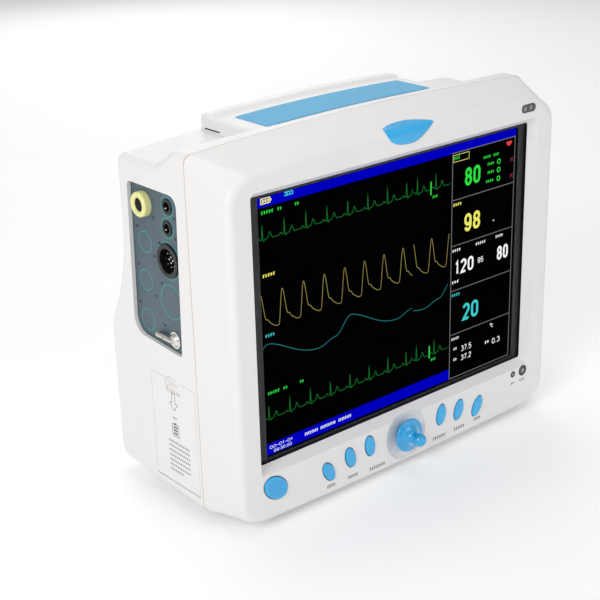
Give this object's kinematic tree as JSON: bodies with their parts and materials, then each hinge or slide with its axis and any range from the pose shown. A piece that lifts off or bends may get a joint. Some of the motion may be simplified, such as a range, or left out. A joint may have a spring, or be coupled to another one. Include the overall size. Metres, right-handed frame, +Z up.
{
  "type": "patient monitor",
  "caption": "Bedside patient monitor: 4:3 display in a pale case, blue keys and push knob, side panel of sensor sockets, battery door, strip recorder and top handle.",
  "frame": {"origin": "centre of the footprint on the table, under the feet", "axes": "+X to the viewer's right, -Y out of the display, +Z up"},
  "size_m": [0.3193, 0.164, 0.269],
  "materials": {
    "shell": "fine moulded texture",
    "blue": "satin gloss",
    "slate": "fine moulded texture",
    "black": "satin",
    "dark_grey": "satin",
    "clear": "polished",
    "smoked": "polished",
    "lens": "polished",
    "lit_panel": "polished",
    "collar": "satin gloss",
    "metal": "brushed",
    "nickel": "satin plated",
    "brass": "bright",
    "soft": "soft matte",
    "rubber": "matte",
    "board": "solder mask",
    "pack": "shrink sleeve",
    "paper": "thermal paper",
    "zinc": "powder coat"
  },
  "bodies": {
    "case": {"front_bezel": "shell", "rear_shell": "shell", "display_window": "clear", "lcd_frame": "dark_grey", "lcd_panel": "lit_panel", "alarm_light": "blue", "sensor_window": "smoked", "mains_lamp": "lens", "run_lamp": "lens", "encoder_body": "metal", "key_board": "board", "key_switches": "black", "chassis": "metal", "main_board": "board", "power_supply": "board", "battery_bay": "dark_grey", "battery_pack": "pack", "connector_panel": "slate", "oximeter_socket": "collar", "temperature_sockets": "black", "ecg_socket": "black", "ecg_pins": "nickel", "cuff_fitting": "nickel", "sensor_board": "board", "cuff_pump": "metal", "cuff_valves": "black", "handle": "shell", "handle_grip": "soft", "feet": "rubber", "base_plate": "zinc", "base_screws": "metal", "rear_panel": "zinc", "panel_screws": "metal", "mains_inlet": "black", "inlet_pins": "nickel", "fuse_caps": "black", "ground_stud": "brass", "data_port": "nickel", "fan_frame": "black", "speaker": "black", "recorder_case": "dark_grey", "print_head": "black", "case_screws": "metal"},
    "power_button": {"power_button": "blue"},
    "menu_key": {"menu_key": "blue"},
    "start_key": {"start_key": "blue"},
    "record_key": {"record_key": "blue"},
    "silence_key": {"silence_key": "blue"},
    "freeze_key": {"freeze_key": "blue"},
    "main_key": {"main_key": "blue"},
    "encoder_rotor": {"encoder_rotor": "dark_grey"},
    "knob": {"knob": "blue", "knob_shaft": "metal"},
    "battery_door": {"battery_door": "shell"},
    "battery_latch": {"battery_latch": "shell"},
    "fan_rotor": {"fan_rotor": "black"},
    "recorder_door": {"recorder_door": "shell"},
    "recorder_roller": {"recorder_roller": "rubber"},
    "paper_roll": {"paper_roll": "paper"},
    "recorder_release": {"recorder_release": "blue"}
  },
  "joints": [
    {"name": "power_button_press", "type": "slide", "parent": "case", "child": "power_button", "axis": [0, 1, 0], "range_m": [0, 0.0012], "stiffness_N_per_m": 300},
    {"name": "menu_key_press", "type": "slide", "parent": "case", "child": "menu_key", "axis": [0, 1, 0], "range_m": [0, 0.0012], "stiffness_N_per_m": 300},
    {"name": "start_key_press", "type": "slide", "parent": "case", "child": "start_key", "axis": [0, 1, 0], "range_m": [0, 0.0012], "stiffness_N_per_m": 300},
    {"name": "record_key_press", "type": "slide", "parent": "case", "child": "record_key", "axis": [0, 1, 0], "range_m": [0, 0.0012], "stiffness_N_per_m": 300},
    {"name": "silence_key_press", "type": "slide", "parent": "case", "child": "silence_key", "axis": [0, 1, 0], "range_m": [0, 0.0012], "stiffness_N_per_m": 300},
    {"name": "freeze_key_press", "type": "slide", "parent": "case", "child": "freeze_key", "axis": [0, 1, 0], "range_m": [0, 0.0012], "stiffness_N_per_m": 300},
    {"name": "main_key_press", "type": "slide", "parent": "case", "child": "main_key", "axis": [0, 1, 0], "range_m": [0, 0.0012], "stiffness_N_per_m": 300},
    {"name": "knob_turn", "type": "hinge", "parent": "case", "child": "encoder_rotor", "pos_m": [0, -0.0505, 0.028], "axis": [0, 1, 0], "continuous": true},
    {"name": "knob_press", "type": "slide", "parent": "encoder_rotor", "child": "knob", "axis": [0, 1, 0], "range_m": [0, 0.0005], "stiffness_N_per_m": 400},
    {"name": "battery_door_hinge", "type": "hinge", "parent": "case", "child": "battery_door", "pos_m": [-0.1565, 0.0033, 0.0203], "axis": [0, -1, 0], "range_deg": [0, 95]},
    {"name": "battery_latch_slide", "type": "slide", "parent": "battery_door", "child": "battery_latch", "axis": [0, 0, -1], "range_m": [0, 0.003], "stiffness_N_per_m": 200},
    {"name": "fan_spin", "type": "hinge", "parent": "case", "child": "fan_rotor", "pos_m": [-0.068, 0.0628, 0.062], "axis": [0, 1, 0], "continuous": true},
    {"name": "recorder_door_hinge", "type": "hinge", "parent": "case", "child": "recorder_door", "pos_m": [0.1565, 0.012, 0.1278], "axis": [0, 1, 0], "range_deg": [0, 85]},
    {"name": "recorder_roller_spin", "type": "hinge", "parent": "recorder_door", "child": "recorder_roller", "pos_m": [0.1485, 0.012, 0.181], "axis": [0, 1, 0], "continuous": true},
    {"name": "paper_roll_spin", "type": "hinge", "parent": "case", "child": "paper_roll", "pos_m": [0.131, 0.012, 0.15], "axis": [0, 1, 0], "continuous": true},
    {"name": "recorder_release_press", "type": "slide", "parent": "case", "child": "recorder_release", "axis": [-1, 0, 0], "range_m": [0, 0.0012], "stiffness_N_per_m": 300}
  ]
}
